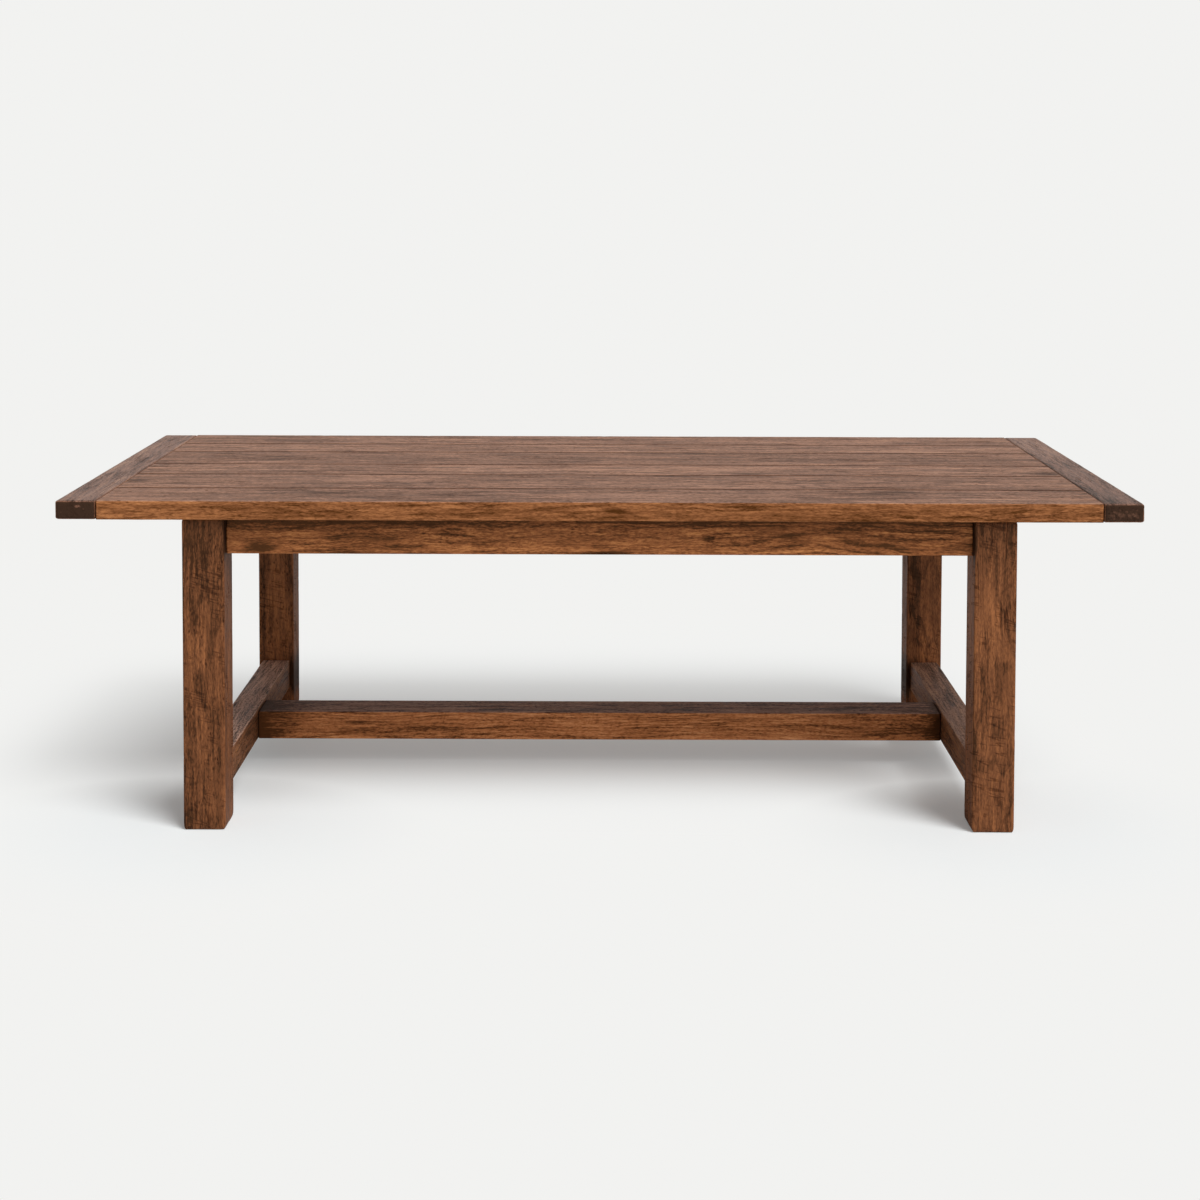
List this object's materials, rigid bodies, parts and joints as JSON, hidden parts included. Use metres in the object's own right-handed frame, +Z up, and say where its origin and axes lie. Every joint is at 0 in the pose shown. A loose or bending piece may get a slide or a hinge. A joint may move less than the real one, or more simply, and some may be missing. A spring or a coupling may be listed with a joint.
{
  "type": "refectory table",
  "caption": "Long rustic wooden dining table: plank top with breadboard ends on square legs, aprons and an H-shaped stretcher.",
  "frame": {"origin": "on the floor, under the middle of the top", "axes": "+X along the table to the right, +Y from the pictured front edge to the back, +Z up"},
  "size_m": [2.47, 1.067, 0.762],
  "materials": {
    "top_wood": "satin wax over worn, stained boards",
    "base_wood": "satin wax over sawn, stained timber",
    "inner_wood": "plain planed wood, unstained",
    "screw_steel": "zinc-plated, dulled"
  },
  "bodies": {
    "root": {"apron_back": "base_wood", "apron_front": "base_wood", "apron_left": "base_wood", "apron_right": "base_wood", "breadboard_left": "top_wood", "breadboard_pegs": "inner_wood", "breadboard_right": "top_wood", "button_screws": "screw_steel", "centre_stretcher": "base_wood", "corner_block_back_left": "inner_wood", "corner_block_back_right": "inner_wood", "corner_block_front_left": "inner_wood", "corner_block_front_right": "inner_wood", "corner_block_screws": "screw_steel", "leg_back_left": "base_wood", "leg_back_right": "base_wood", "leg_front_left": "base_wood", "leg_front_right": "base_wood", "plank_1": "top_wood", "plank_2": "top_wood", "plank_3": "top_wood", "plank_4": "top_wood", "plank_5": "top_wood", "plank_6": "top_wood", "side_stretcher_left": "base_wood", "side_stretcher_right": "base_wood", "stretcher_pegs": "inner_wood", "top_batten_left": "inner_wood", "top_batten_middle": "inner_wood", "top_batten_right": "inner_wood", "top_buttons": "inner_wood"}
  },
  "joints": []
}
